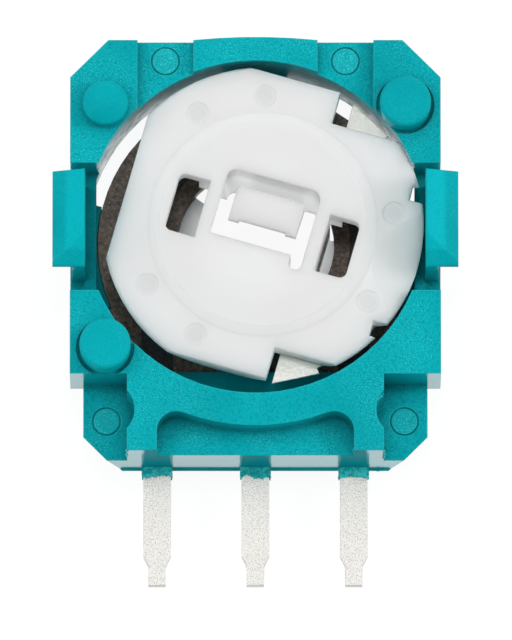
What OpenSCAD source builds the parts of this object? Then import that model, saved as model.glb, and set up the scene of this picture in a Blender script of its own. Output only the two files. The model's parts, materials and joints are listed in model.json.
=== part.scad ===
// Rotary sensor of a thumb joystick. A moulded housing with two snap hooks holds a printed resistor
// wafer and three terminals, and a loose rotor carries a spring wiper round over the wafer.
// The part lies on its back: +Z is the axis that the rotor turns on, with the front up, and the
// terminals point along -Y. Sizes are in millimetres and angles in degrees.

/* [Opening] */
// Radius of the round opening that the rotor turns in
opening_r = 4.31; // [4.1:0.01:4.6]
// Gap between the rotor's rim and the opening when the rotor is centred
rim_gap = 0.23; // [0.12:0.01:0.24]
// Gap left on the side that the loose rotor lies against
lean_gap = 0.02; // [0.02:0.01:0.1]
// Angle above the +X side towards which the loose rotor lies
lean_angle = 22; // [0:1:60]
// Gap between the rotor's hub and its hole when the rotor is centred
hub_gap = 0.29; // [0.24:0.01:0.36]

/* [Frame] */
// Wall between the opening and each side face
side_wall = 0.4; // [0.38:0.01:0.7]
// Wall between the opening and the top edge
top_wall = 0.53; // [0.5:0.01:0.8]
// Rise of the bowed middle of the top edge
top_bow = 0.08; // [0.05:0.01:0.2]
// Wall between the opening and the bottom face
foot_wall = 1.49; // [1.45:0.01:2]
// Height of the front plane over the rear face
front_z = 3; // [2.9:0.05:3.4]
// Depth of the frame round the opening, from the front plane back
frame_t = 2; // [1.8:0.05:2.2]
// Cut across each upper corner
corner_cut = 0.97; // [0.6:0.01:1.1]
// From the lower peg down to the foot of the side blocks
block_rim = 0.02; // [0.01:0.01:0.2]
// From the centre line out to each recess in the top edge
recess_x = 1.58; // [1.3:0.02:1.8]
// Width of each recess in the top edge
recess_w = 1.42; // [1.1:0.02:1.5]
// Step from the front plane down to each recess
recess_step = 0.3; // [0.15:0.05:0.5]

/* [Back] */
// Wall of the round boss on the back, outside the opening's radius
boss_wall = 0.22; // [0.2:0.01:0.4]
// Thickness of the rear wall behind the wafer
rear_wall = 0.38; // [0.3:0.01:0.45]
// Width of the curved gaps between the rear wall and the opening, which are open all the way out
rear_gap_w = 0.27; // [0.15:0.01:0.3]
// Width of the bridge between the curved gaps at the top
bridge_w = 1.56; // [1.2:0.02:2]
// Angle above the side of the axis at which the curved gaps end
rear_gap_end = 14; // [10:1:30]

/* [Apron] */
// Width of the base plate under the frame
plate_w = 8.75; // [8.5:0.05:9]
// Cut across each lower corner of the base plate
plate_cut = 0.6; // [0.3:0.05:0.7]
// Lean of that cut, which draws the corner in towards the back
corner_draft = 12; // [9:1:15]
// Step from the front plane down to the base plate
plate_step = 1.35; // [1.25:0.05:1.45]
// Height of the base plate's back over the rear face
plate_back = 0.15; // [0.1:0.01:0.18]
// Bevel along the base plate's lower rear edge
heel_cut = 0.36; // [0.3:0.02:0.52]
// Reach of the thin lip along the rear edge of the bottom face
lip_reach = 0.05; // [0.03:0.01:0.1]
// Thickness of that lip
lip_t = 0.05; // [0.03:0.01:0.06]
// Clear width of the arched pocket between the columns
pocket_w = 5; // [4.7:0.05:5.2]
// Step from the front plane down to the pocket's floor
pocket_step = 0.65; // [0.4:0.05:0.8]
// Radius of the pocket's upper corners
pocket_fillet = 0.5; // [0.4:0.05:0.7]
// Wall between the opening and the pocket
collar = 0.84; // [0.7:0.01:1]
// Width of each column beside the pocket
column_w = 0.76; // [0.6:0.02:0.9]
// Radius of the hollow in the outer side of each column
relief_r = 0.72; // [0.5:0.01:0.75]
// From the middle of the lower mould mark up to the middle of that hollow
relief_up = 0.06; // [0:0.01:0.1]
// Radius of the round mould marks
mark_r = 0.33; // [0.25:0.01:0.42]
// Width of the groove round each mould mark
mark_groove = 0.04; // [0.03:0.01:0.08]
// Depth of that groove
mark_sink = 0.06; // [0.02:0.01:0.08]
// From the top edge down to each upper mould mark
top_mark_in = 0.49; // [0.42:0.01:0.52]
// From the side of the base plate in to each lower mould mark
mark_in = 0.59; // [0.5:0.01:0.7]
// From the bottom face up to each lower mould mark
mark_up = 1.01; // [0.9:0.01:1.1]

/* [Pegs] */
// Angle of the pegs above and below the side of the axis
peg_angle = 39.5; // [37:0.5:41]
// From the opening's edge out to the middle of each peg
peg_out = 0.63; // [0.62:0.01:0.75]
// Height of the pegs over the front plane
peg_h = 0.6; // [0.4:0.05:0.8]
// Radius of the two flat pegs
flat_peg_r = 0.65; // [0.5:0.01:0.65]
// Bevel round the top of each flat peg
peg_bevel = 0.06; // [0.03:0.01:0.1]
// Radius of the domed peg
dome_peg_r = 0.57; // [0.45:0.01:0.6]
// Rise of the dome on the domed peg
dome_rise = 0.22; // [0.1:0.02:0.3]
// Gap of the sunk ring round each flat peg
sink_gap = 0.09; // [0.08:0.01:0.16]
// Depth of the sunk ring round each flat peg
sink_depth = 0.1; // [0.06:0.01:0.2]

/* [Hooks] */
// Length of each hook along the side face
hook_w = 2.45; // [2:0.05:2.7]
// From the axis up to the middle of each hook
hook_y = 0.08; // [0:0.01:0.2]
// Length of the open bay in the frame round each hook
bay_w = 3.3; // [3:0.05:3.5]
// From the opening's edge in to the sill at the bottom of each bay
sill_in = 0.26; // [0.1:0.01:0.28]
// From the opening's edge out to each hook's arm
arm_gap = 0.01; // [0.01:0.01:0.05]
// Thickness of each hook's arm
arm_t = 0.35; // [0.3:0.01:0.45]
// Reach of the barb past the arm
barb_reach = 0.48; // [0.3:0.02:0.6]
// Height of the hook's top over the front plane
hook_rise = 0.95; // [0.8:0.05:1.2]
// Drop of the sloping face across the hook
barb_drop = 0.4; // [0.2:0.02:0.45]
// Height of the barb's upright outer edge
barb_edge = 0.12; // [0.08:0.02:0.2]
// From the middle of the hook down to its lower bevel
bevel_start = 0.37; // [0.2:0.01:0.8]
// Angle of the hook's lower bevel
bevel_angle = 28; // [20:1:35]

/* [Wafer] */
// Thickness of the wafer
wafer_t = 0.32; // [0.25:0.01:0.4]
// Thickness of the printed tracks
track_t = 0.03; // [0.02:0.005:0.05]
// Gap round the wafer in its seat
wafer_gap = 0.02; // [0.01:0.005:0.04]
// From the opening's edge in to the moulded cover over the wafer's foot
cover_in = 0.91; // [0.78:0.01:0.98]
// Thickness of the moulded cover over the terminals' inner ends
cover_t = 0.1; // [0.08:0.01:0.2]
// From the bottom face in to the end of the wafer's foot
wafer_foot_in = 1.4; // [1.2:0.05:1.5]
// Width of the wafer's foot
wafer_foot_w = 6.6; // [6.4:0.1:7]
// Share of the way from the wafer's hole to its edge at which the collector track starts
collector_from = 0.2; // [0.15:0.01:0.24]
// Share of that way at which the collector track ends
collector_to = 0.45; // [0.43:0.01:0.47]
// Share of that way at which the resistive track starts
resistive_from = 0.5; // [0.48:0.01:0.52]
// Share of that way at which the resistive track ends
resistive_to = 0.7; // [0.69:0.01:0.8]
// Angle below the side of the axis to which the resistive track runs
resistive_end = 44; // [40:1:48]
// Width of the printed leads to the terminals
lead_w = 0.8; // [0.6:0.02:0.9]

/* [Terminals] */
// Distance between neighbouring terminals
pitch = 2.5; // [2.4:0.02:2.6]
// Width of each terminal
terminal_w = 0.7; // [0.6:0.02:0.75]
// Thickness of each terminal
terminal_t = 0.26; // [0.2:0.01:0.3]
// Length of each terminal below the bottom face
terminal_len = 3.1; // [2.8:0.05:4]
// Width of each terminal's tip
tip_w = 0.44; // [0.35:0.01:0.5]
// Length of each terminal's narrow tip
tip_len = 0.5; // [0.4:0.05:0.7]
// Length of the taper between tip and blade
taper_len = 0.26; // [0.15:0.01:0.35]
// Width of the anchor at each terminal's inner end
anchor_w = 1.1; // [0.9:0.05:1.2]
// Lap of the moulded cover over the anchor's inner end
anchor_in = 0.35; // [0.25:0.05:0.45]
// Length of the anchor
anchor_len = 0.8; // [0.6:0.05:0.9]
// Gap round each terminal in the housing
terminal_gap = 0.01; // [0.005:0.005:0.02]
// Width of the ramp on each terminal's root at the front
ramp_w = 0.6; // [0.5:0.05:0.65]
// Width of that ramp where it meets the terminal
ramp_foot_w = 0.8; // [0.7:0.05:0.9]
// Reach of that ramp past the bottom face
ramp_reach = 0.04; // [0.03:0.01:0.2]

/* [Rotor] */
// Turn of the rotor as it lies, from level
rest_turn = -16; // [-30:1:30]
// Depth of the rotor's face below the front plane
face_sink = 0.02; // [0:0.01:0.1]
// Thickness of the rotor's disc near its rim
disc_t = 0.76; // [0.65:0.01:0.85]
// Thickness of the disc's thinner middle
middle_t = 0.52; // [0.45:0.01:0.6]
// Width of the thick band inside the rim
band_w = 1.36; // [1.3:0.01:1.5]
// Bevel on the rotor's front rim
rim_bevel = 0.06; // [0.03:0.01:0.1]
// Height of the rim's upright wall below that bevel
rim_wall = 0.15; // [0.1:0.01:0.25]
// Draw-in of the rim from that wall to the disc's back
rim_draw = 0.24; // [0.1:0.01:0.26]
// Depth of the flat on the rotor's plain side, from the rim
side_flat = 0.49; // [0.3:0.01:0.6]
// Depth of the flats on the rotor's two ends, from the rim
end_flat = 0.26; // [0.1:0.01:0.3]
// From the axis across to the large notch in the upper rim
notch_x = 0.94; // [0.8:0.02:1.1]
// From the axis across to the large notch in the lower rim
low_notch_x = 1.16; // [1:0.02:1.2]
// Depth of each large rim notch, from the rim
notch_in = 1.09; // [0.9:0.01:1.15]
// Depth of each small rim nick, from the rim
nick_in = 0.7; // [0.6:0.01:0.95]
// From the axis along to each small rim nick
nick_y = 1.62; // [1.4:0.01:1.7]
// Width of each small rim nick
nick_w = 0.42; // [0.3:0.01:0.5]
// From the rim in to the foot of the raised middle of the rotor's face
plateau_in = 1.15; // [1:0.01:1.4]
// Width of the slope round the raised middle
plateau_slope = 0.3; // [0.1:0.01:0.4]
// Rise of the raised middle
plateau_rise = 0.08; // [0.03:0.01:0.1]
// Depth at the rim of the trough between the small nicks
deep_trough = 0.14; // [0.05:0.01:0.15]
// Depth at the flat of the trough on the opposite side
faint_trough = 0.05; // [0.03:0.01:0.1]
// Width of the trough on the opposite side
faint_trough_w = 1.8; // [1:0.1:2.4]
// Wall of the rotor's hub outside the drive slot
hub_wall = 0.49; // [0.43:0.01:0.52]
// Wall that the hub's thick root adds to it
root_wall = 0.3; // [0.18:0.01:0.38]
// Depth of the thick root's end below the rotor's face
root_depth = 1.24; // [1:0.02:1.4]
// Depth of the hub's end inside the rear face
hub_sink = 0.05; // [0.02:0.01:0.1]
// Reach of the two snap tabs at the hub's end
tab_reach = 0.51; // [0.45:0.01:0.6]
// Thickness of the snap tabs
tab_t = 0.12; // [0.08:0.01:0.14]
// Half of the angle that each snap tab covers
tab_angle = 20; // [14:1:22]
// Gap over the snap tabs in their recess
tab_gap = 0.05; // [0.03:0.01:0.06]
// From the side of the drive slot out to each window
window_wall = 0.35; // [0.27:0.01:0.47]
// Width of each window
window_w = 0.81; // [0.6:0.01:0.9]
// From the axis down to the middle of each window
window_y = 0.06; // [0:0.01:0.1]
// Length of each window
window_len = 1.52; // [1.2:0.02:1.7]
// Radius of each window's outer corners
window_fillet = 0.18; // [0.1:0.01:0.25]
// Radius of the ejector marks
ejector_r = 0.28; // [0.15:0.01:0.3]
// From the rim in to the ejector marks
ejector_in = 0.75; // [0.6:0.01:0.85]
// Angles of the ejector marks on the rotor's face
ejector_angles = [21, 105, 136]; // [15:1:140]
// Depth of the ejector marks
ejector_sink = 0.03; // [0.01:0.005:0.03]

/* [Drive slot] */
// Width of the slot that the joystick's blade drives
slot_w = 2.46; // [2.2:0.02:2.5]
// From the axis down to the slot's lower side
slot_low = 0.59; // [0.45:0.01:0.6]
// From the axis up to the slot's upper side
slot_high = 1.18; // [1:0.01:1.2]
// Radius of the slot's upper corners
slot_fillet = 0.26; // [0.15:0.01:0.3]
// Flare of each side of the slot at the hub's end
slot_flare = 0.17; // [0.1:0.01:0.19]
// Width of the keyway at the slot's lower corner
key_w = 0.33; // [0.2:0.01:0.4]
// Depth of the keyway below the slot
key_drop = 0.34; // [0.2:0.01:0.4]
// Width of the spring tongue in the slot
tongue_w = 1.78; // [1.5:0.02:1.8]
// Gap for the blade between the tongue and the slot's lower side
blade_gap = 0.54; // [0.5:0.01:0.6]
// Depth of the tongue's head from front to back
head_len = 0.86; // [0.7:0.01:0.9]
// Height of the tongue's head at its back
head_back_h = 0.6; // [0.4:0.05:0.8]
// Height of the tongue's head at its front
head_front_h = 0.16; // [0.1:0.02:0.3]
// Radius of the head's rear corners
head_fillet = 0.1; // [0.05:0.01:0.15]
// Thickness of the spring that carries the head
spring_t = 0.24; // [0.18:0.01:0.3]
// From each side of the head in to that spring
spring_in = 0.2; // [0.1:0.01:0.3]
// Depth of the tongue's end below the rotor's face
tongue_sink = 0.1; // [0.05:0.01:0.3]
// Width of the two feet on the tongue's lower corners
tongue_foot_w = 0.28; // [0.15:0.01:0.35]
// Reach of those feet
tongue_foot = 0.07; // [0.03:0.01:0.1]
// Height of the web that joins the tongue to the hub
web_h = 0.9; // [0.6:0.05:1.2]

/* [Wiper] */
// Thickness of the wiper plate
wiper_t = 0.12; // [0.08:0.01:0.15]
// Share of the way from the hub to the plate's corners at which the plate starts
wiper_from = 0.46; // [0.44:0.01:0.52]
// From the rotor's rim in to the plate's corners
wiper_rim = 0.08; // [0.05:0.01:0.3]
// Step from the plate's end corners in to the corners between them
wiper_waist = 0.15; // [0.05:0.01:0.2]
// Number of straight sides on the plate's outer edge
wiper_sides = 8; // [6:1:12]
// From the axis across to the plate's two ends
wiper_end = 1.31; // [1.2:0.01:1.4]
// Width of each contact finger
finger_w = 0.16; // [0.12:0.01:0.18]
// Distance between the two fingers of a pair
finger_pitch = 0.22; // [0.2:0.01:0.24]
// Reach of the fingers on the resistive track past the axis
resistive_finger_x = 1.7; // [1.5:0.02:1.8]
// Reach of the fingers on the collector track past the axis
collector_finger_x = 0.4; // [0.3:0.02:0.5]
// Length of the turned-up toe of each finger
toe_len = 0.2; // [0.15:0.01:0.25]
// Rise of that toe
toe_rise = 0.14; // [0.1:0.01:0.2]
// Gap between the fingers and the tracks
finger_gap = 0.03; // [0.02:0.005:0.05]
// Angle of the two stakes that hold the plate, above and below the plain side
stake_angle = 20; // [15:1:24]
// Radius of the stakes
stake_r = 0.2; // [0.15:0.01:0.22]
// Gap round each stake in the plate
stake_gap = 0.02; // [0.01:0.005:0.03]
// Radius of the stakes' flattened heads
head_r = 0.34; // [0.3:0.01:0.38]
// Thickness of those heads
head_t = 0.12; // [0.08:0.01:0.15]

/* [Hidden] */
$fn = 96;
// Reach that takes a cut past the whole part
far = 20;
// Depth by which the pieces of one moulding run into each other
merge = 0.1;
// Number of straight sides that close a wedge outside the part
wedge_sides = 4;

half_w = opening_r + side_wall;
top_y = opening_r + top_wall;
foot_y = -opening_r - foot_wall;
frame_back = front_z - frame_t;
boss_r = opening_r + boss_wall;
plate_z = front_z - plate_step;
pocket_z = front_z - pocket_step;
column_x = pocket_w / 2 + column_w;
mark_x = plate_w / 2 - mark_in;
mark_y = foot_y + mark_up;
peg_at = opening_r + peg_out;
block_foot = peg_at * sin(peg_angle) + flat_peg_r + block_rim;
heel_top = plate_back + heel_cut;
cover_y = opening_r - cover_in;
anchor_y = cover_y + anchor_in;
wafer_foot = -foot_y - wafer_foot_in;

wafer_top = rear_wall + wafer_t;
track_top = wafer_top + track_t;
cover_z = track_top + terminal_t + cover_t;
wafer_r = opening_r - rear_gap_w - wafer_gap;
hub_r = slot_w / 2 + hub_wall;
root_r = hub_r + root_wall;
window_x = slot_w / 2 + window_wall;
hole_r = hub_r + hub_gap;
tab_top = hub_sink + tab_t;

rotor_place = (rim_gap - lean_gap) * [cos(lean_angle), sin(lean_angle), 0];
rotor_r = opening_r - rim_gap;
face_z = front_z - face_sink;
rim_z = face_z - plateau_rise;
plateau_r = rotor_r - plateau_in;
disc_back = face_z - disc_t;
wiper_back = disc_back - wiper_t;
wiper_r = rotor_r - wiper_rim;
waist_r = wiper_r - wiper_waist;
wiper_in = hub_r + wiper_from * (wiper_r - hub_r);
tongue_front = blade_gap - slot_low;
tongue_back = tongue_front + head_len;
tongue_top = face_z - tongue_sink;

// Radius at a share of the way from the wafer's hole to its edge.
function ring_r(share) = hole_r + share * (wafer_r - hole_r);

// Flat ring between two radii, cut to the angles from one side of a wedge to the other.
module ring_sector(inner, outer, from, to) {
    step = (to - from) / wedge_sides;
    intersection() {
        difference() {
            circle(outer);
            circle(inner);
        }
        polygon(concat(
            [[0, 0]],
            [for (i = [0:wedge_sides]) far * [cos(from + i * step), sin(from + i * step)]]
        ));
    }
}

// Two copies of a shape, one on each side of the YZ plane.
module both_sides() {
    children();
    mirror([1, 0, 0]) children();
}

module frame_outline() {
    polygon([
        [-half_w, -block_foot], [half_w, -block_foot],
        [half_w, top_y - corner_cut], [half_w - corner_cut, top_y],
        [corner_cut - half_w, top_y], [-half_w, top_y - corner_cut]
    ]);
}

// The gentle arch along the middle of the top edge, as a thin segment of a large circle.
module bow_outline() {
    bow_r = (recess_x ^ 2 + top_bow ^ 2) / (2 * top_bow);
    intersection() {
        translate([0, top_y + top_bow - bow_r]) circle(bow_r);
        translate([-recess_x, opening_r]) square([2 * recess_x, far]);
    }
}

module plate_outline() {
    half_plate = plate_w / 2;
    polygon([
        [-half_plate, 0], [-half_plate, foot_y + plate_cut], [plate_cut - half_plate, foot_y],
        [half_plate - plate_cut, foot_y], [half_plate, foot_y + plate_cut], [half_plate, 0]
    ]);
}

// Columns and pocket land below the opening, with a round hollow in each column's outer side.
module apron_outline() {
    difference() {
        translate([-column_x, foot_y]) square([2 * column_x, -foot_y]);
        both_sides() translate([mark_x, mark_y + relief_up]) circle(relief_r);
    }
}

// Arched pocket: its top follows the opening, and a fillet rounds each upper corner.
module pocket_outline() {
    arch_r = opening_r + collar;
    fillet_x = pocket_w / 2 - pocket_fillet;
    fillet_at = arch_r + pocket_fillet;
    fillet_y = -sqrt(fillet_at ^ 2 - fillet_x ^ 2);
    touch = arch_r / fillet_at * [fillet_x, fillet_y];
    difference() {
        translate([-pocket_w / 2, -far]) square([pocket_w, far]);
        circle(arch_r);
        both_sides() difference() {
            polygon([touch, [touch[0], 0], [pocket_w, 0], [pocket_w, fillet_y], [fillet_x, fillet_y]]);
            translate([fillet_x, fillet_y]) circle(pocket_fillet);
        }
    }
}

// Round wafer with a square foot under the terminals. Below the hook bays it fills the whole opening.
module wafer_outline(gap) {
    spare = wafer_gap - gap;
    circle(wafer_r + gap);
    intersection() {
        circle(opening_r - spare);
        translate([-far, -far - bay_w / 2 - spare]) square([2 * far, far]);
    }
    translate([-wafer_foot_w / 2 - gap, -wafer_foot - gap])
        square([wafer_foot_w + 2 * gap, wafer_foot + gap]);
}

module terminal_outline(gap) {
    tip_y = foot_y - terminal_len;
    anchor_x = anchor_w / 2 + gap;
    blade_x = terminal_w / 2 + gap;
    tip_x = tip_w / 2 + gap;
    anchor_foot = -anchor_y - anchor_len - gap;
    right_side = [
        [anchor_x, gap - anchor_y], [anchor_x, anchor_foot], [blade_x, anchor_foot],
        [blade_x, tip_y + tip_len + taper_len], [tip_x, tip_y + tip_len], [tip_x, tip_y]
    ];
    left_side = [for (i = [len(right_side) - 1:-1:0]) [-right_side[i][0], right_side[i][1]]];
    polygon(concat(right_side, left_side));
}

// Wedge from the front plane down the bottom face to the terminal's front.
module terminal_ramp() {
    ramp_z = track_top + terminal_t + terminal_gap;
    intersection() {
        rotate([90, 0, 90]) linear_extrude(far, center = true) polygon([
            [foot_y + merge, ramp_z], [foot_y - ramp_reach, ramp_z],
            [foot_y, front_z], [foot_y + merge, front_z]
        ]);
        rotate([90, 0, 0]) linear_extrude(far) polygon([
            [-ramp_foot_w / 2, ramp_z], [ramp_foot_w / 2, ramp_z],
            [ramp_w / 2, front_z], [-ramp_w / 2, front_z]
        ]);
    }
}

// Arm and barb of the hook on the +X side, with a bevel across the lower end of its sloping face.
module hook() {
    arm_in = opening_r + arm_gap;
    arm_out = arm_in + arm_t;
    tip_x = arm_out + barb_reach;
    hook_top = front_z + hook_rise;
    edge_top = hook_top - barb_drop;
    catch_z = edge_top - barb_edge;
    difference() {
        translate([0, hook_y + hook_w / 2, 0]) rotate([90, 0, 0]) linear_extrude(hook_w) polygon([
            [arm_in, frame_back], [arm_out, frame_back], [arm_out, catch_z],
            [tip_x, catch_z], [tip_x, edge_top], [arm_in, hook_top]
        ]);
        translate([0, hook_y - bevel_start, hook_top]) rotate([bevel_angle, 0, 0])
            translate([0, -far, 0]) cube(far);
    }
}

module flat_peg() {
    rotate_extrude() polygon([
        [0, -sink_depth], [flat_peg_r, -sink_depth], [flat_peg_r, peg_h - peg_bevel],
        [flat_peg_r - peg_bevel, peg_h], [0, peg_h]
    ]);
}

// Groove round a mould mark on a face at the given height.
module mark_ring(level) {
    translate([0, 0, level - mark_sink]) linear_extrude(far) difference() {
        circle(mark_r + mark_groove);
        circle(mark_r);
    }
}

module dome_peg() {
    dome_r = (dome_peg_r ^ 2 + dome_rise ^ 2) / (2 * dome_rise);
    intersection() {
        cylinder(h = peg_h, r = dome_peg_r);
        translate([0, 0, peg_h - dome_r]) sphere(dome_r);
    }
}

// Puts a shape on the front plane at a peg's place, at an angle round the axis.
module at_peg(angle) {
    translate([peg_at * cos(angle), peg_at * sin(angle), front_z]) children();
}

// The round opening, with a straight sill left at the bottom of each hook bay.
module opening() {
    difference() {
        translate([0, 0, track_top]) cylinder(h = far, r = opening_r);
        both_sides() translate([opening_r - sill_in, -bay_w / 2, 0]) cube([far, bay_w, plate_z]);
        translate([-far, -far - cover_y, 0]) cube([2 * far, far, cover_z]);
    }
}

module housing_blank() {
    heel_side = heel_cut * sqrt(2);
    difference() {
        union() {
            translate([0, 0, frame_back]) linear_extrude(frame_t) {
                frame_outline();
                bow_outline();
            }
            translate([0, 0, plate_back]) linear_extrude(front_z - plate_back) apron_outline();
            translate([0, 0, plate_back]) linear_extrude(plate_z - plate_back) plate_outline();
            cylinder(h = frame_back, r = boss_r);
            translate([plate_cut - plate_w / 2, foot_y - lip_reach, heel_top])
                cube([plate_w - 2 * plate_cut, lip_reach + merge, lip_t]);
            for (i = [-1:1]) translate([i * pitch, 0, 0]) terminal_ramp();
        }
        translate([0, foot_y, plate_back]) rotate([45, 0, 0])
            cube([far, heel_side, heel_side], center = true);
        translate([0, 0, pocket_z]) linear_extrude(far) pocket_outline();
        both_sides() {
            translate([recess_x, 0, front_z - recess_step]) cube([recess_w, far, far]);
            translate([0, -bay_w / 2, plate_z]) cube([far, bay_w, far]);
            translate([plate_w / 2 - plate_cut, foot_y, plate_z]) rotate([0, corner_draft, -45])
                translate([0, -far / 2, -far]) cube(far);
            translate([mark_x, mark_y, 0]) mark_ring(plate_z);
            translate([recess_x + recess_w / 2, top_y - top_mark_in, 0]) mark_ring(front_z - recess_step);
        }
    }
}

module rear_cuts() {
    bridge_angle = asin(bridge_w / 2 / opening_r);
    translate([0, 0, rear_wall]) linear_extrude(wafer_t + track_t) wafer_outline(wafer_gap);
    translate([0, 0, -far]) cylinder(h = 2 * far, r = hole_r);
    translate([0, 0, -merge]) cylinder(h = merge + tab_top + tab_gap, r = hole_r + tab_reach);
    both_sides() translate([0, 0, -merge]) linear_extrude(frame_back + merge)
        ring_sector(wafer_r + wafer_gap / 2, boss_r + merge, rear_gap_end, 90 - bridge_angle);
    for (i = [-1:1]) translate([i * pitch, 0, track_top - terminal_gap])
        linear_extrude(terminal_t + 2 * terminal_gap) terminal_outline(terminal_gap);
}

module housing() {
    color("darkcyan") {
        difference() {
            housing_blank();
            opening();
            rear_cuts();
            for (angle = [peg_angle, 180 + peg_angle]) at_peg(angle) translate([0, 0, -sink_depth])
                cylinder(h = far, r = flat_peg_r + sink_gap);
        }
        both_sides() hook();
        at_peg(peg_angle) flat_peg();
        at_peg(180 + peg_angle) flat_peg();
        at_peg(180 - peg_angle) dome_peg();
    }
}

module resistor_wafer() {
    color("sienna") translate([0, 0, rear_wall]) linear_extrude(wafer_t) difference() {
        wafer_outline(0);
        circle(hole_r);
    }
}

// Printed strip that runs from a track down to the terminal in the middle of its place.
module lead(x, from_y) {
    translate([x - lead_w / 2, -wafer_foot]) square([lead_w, wafer_foot - from_y]);
}

module resistive_track() {
    inner = ring_r(resistive_from);
    outer = ring_r(resistive_to);
    lead_top = (inner + outer) / 2 * sin(resistive_end);
    color("black") translate([0, 0, wafer_top]) linear_extrude(track_t) {
        ring_sector(inner, outer, -resistive_end, 180 + resistive_end);
        for (side = [-1, 1]) lead(side * pitch, lead_top);
    }
}

module collector_track() {
    inner = ring_r(collector_from);
    outer = ring_r(collector_to);
    color("dimgray") translate([0, 0, wafer_top]) linear_extrude(track_t) {
        difference() {
            circle(outer);
            circle(inner);
        }
        lead(0, (inner + outer) / 2);
    }
}

module terminal(place) {
    color("silver") translate([place * pitch, 0, track_top]) linear_extrude(terminal_t) terminal_outline(0);
}

module left_terminal() {
    terminal(-1);
}

module centre_terminal() {
    terminal(0);
}

module right_terminal() {
    terminal(1);
}

// Moves a shape from the rotor's own level frame to where the rotor lies.
module on_rotor() {
    translate(rotor_place) rotate([0, 0, rest_turn]) children();
}

// Two copies of a shape, one on each side of the rotor's own XZ plane.
module both_ends() {
    children();
    mirror([0, 1, 0]) children();
}

// Soft trough across the rim's face on the +X side, from nothing at the raised middle to full depth
// and width at the given reach.
module trough(reach, depth, width) {
    run = reach - plateau_r;
    trough_r = (width ^ 2 / 4 + depth ^ 2) / (2 * depth);
    translate([plateau_r, 0, rim_z]) rotate([0, atan(depth / run), 0]) translate([0, 0, trough_r])
        rotate([0, 90, 0]) cylinder(h = far, r = trough_r);
}

module rotor_disc() {
    flat_x = rotor_r - side_flat;
    notch_y = rotor_r - notch_in;
    wall_top = rim_z - rim_bevel;
    middle_back = face_z - middle_t;
    band_r = rotor_r - band_w;
    difference() {
        rotate_extrude() polygon([
            [0, middle_back], [band_r, middle_back], [band_r, disc_back], [rotor_r - rim_draw, disc_back],
            [rotor_r, wall_top - rim_wall], [rotor_r, wall_top], [rotor_r - rim_bevel, rim_z],
            [plateau_r, rim_z], [plateau_r - plateau_slope, face_z], [0, face_z]
        ]);
        translate([-far - flat_x, -far / 2, 0]) cube(far);
        translate([notch_x, notch_y, 0]) cube(far);
        translate([low_notch_x, -far - notch_y, 0]) cube(far);
        both_ends() {
            translate([-far / 2, rotor_r - end_flat, 0]) cube(far);
            translate([rotor_r - nick_in, nick_y, 0]) cube([far, nick_w, far]);
            for (angle = ejector_angles) rotate(angle)
                translate([rotor_r - ejector_in, 0, rim_z - ejector_sink]) cylinder(h = far, r = ejector_r);
        }
        trough(rotor_r, deep_trough, 2 * nick_y);
        rotate(180) trough(flat_x, faint_trough, faint_trough_w);
    }
}

// Window beside the hub, square towards the axis and rounded on its outer corners.
module window() {
    translate([window_x, -window_y]) {
        translate([0, -window_len / 2]) square([window_w - window_fillet, window_len]);
        translate([0, window_fillet - window_len / 2])
            square([window_w, window_len - 2 * window_fillet]);
        both_ends() translate([window_w - window_fillet, window_len / 2 - window_fillet])
            circle(window_fillet);
    }
}

// Drive slot with rounded upper corners and a keyway at one lower corner.
module drive_slot() {
    translate([-slot_w / 2, -slot_low]) square([slot_w, slot_low + slot_high - slot_fillet]);
    both_sides() translate([slot_w / 2 - slot_fillet, slot_high - slot_fillet]) circle(slot_fillet);
    translate([slot_fillet - slot_w / 2, 0]) square([slot_w - 2 * slot_fillet, slot_high]);
    translate([slot_w / 2 - key_w, -slot_low - key_drop + key_w / 2]) square([key_w, key_drop]);
    translate([slot_w / 2 - key_w / 2, -slot_low - key_drop + key_w / 2]) circle(key_w / 2);
}

// Flare that widens the slot's +X side from nothing at the face to the hub's end.
module slot_side_flare() {
    side = slot_w / 2;
    top = slot_high - slot_fillet;
    translate([0, top, 0]) rotate([90, 0, 0]) linear_extrude(top + slot_low)
        polygon([[side - merge, 0], [side + slot_flare, 0], [side, face_z], [side - merge, face_z]]);
}

// The tongue seen from the front: two feet towards the blade and rounded corners behind.
module tongue_outline() {
    side = tongue_w / 2;
    translate([-side, tongue_front]) square([tongue_w, head_len - head_fillet]);
    translate([head_fillet - side, tongue_front]) square([tongue_w - 2 * head_fillet, head_len]);
    both_sides() {
        translate([side - head_fillet, tongue_back - head_fillet]) circle(head_fillet);
        translate([side - tongue_foot_w, tongue_front - tongue_foot])
            square([tongue_foot_w, tongue_foot + merge]);
    }
}

// Spring tongue that presses the blade against the slot's lower side: an undercut head on a thin
// spring, which a web joins to the hub at its end.
module tongue() {
    spring_front = tongue_back - spring_t;
    foot_front = tongue_front - tongue_foot;
    under_head = tongue_top - head_back_h;
    spring_w = tongue_w - 2 * spring_in;
    intersection() {
        linear_extrude(tongue_top) tongue_outline();
        rotate([90, 0, 90]) linear_extrude(tongue_w, center = true) polygon([
            [foot_front, tongue_top], [tongue_back, tongue_top], [tongue_back, under_head],
            [spring_front, under_head], [foot_front, tongue_top - head_front_h]
        ]);
    }
    translate([-spring_w / 2, spring_front, hub_sink]) {
        cube([spring_w, spring_t, under_head + merge - hub_sink]);
        cube([spring_w, slot_high + merge - spring_front, web_h]);
    }
}

// Snap tabs at the hub's end, which reach under the rim of its hole.
module snap_tabs() {
    for (side = [0, 180]) rotate(side) translate([0, 0, hub_sink]) linear_extrude(tab_t)
        ring_sector(hub_r - merge, hub_r + tab_reach, -tab_angle, tab_angle);
}

module at_stakes() {
    both_ends() rotate(stake_angle) translate([(wiper_in + waist_r) / 2, 0, 0]) children();
}

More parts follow.
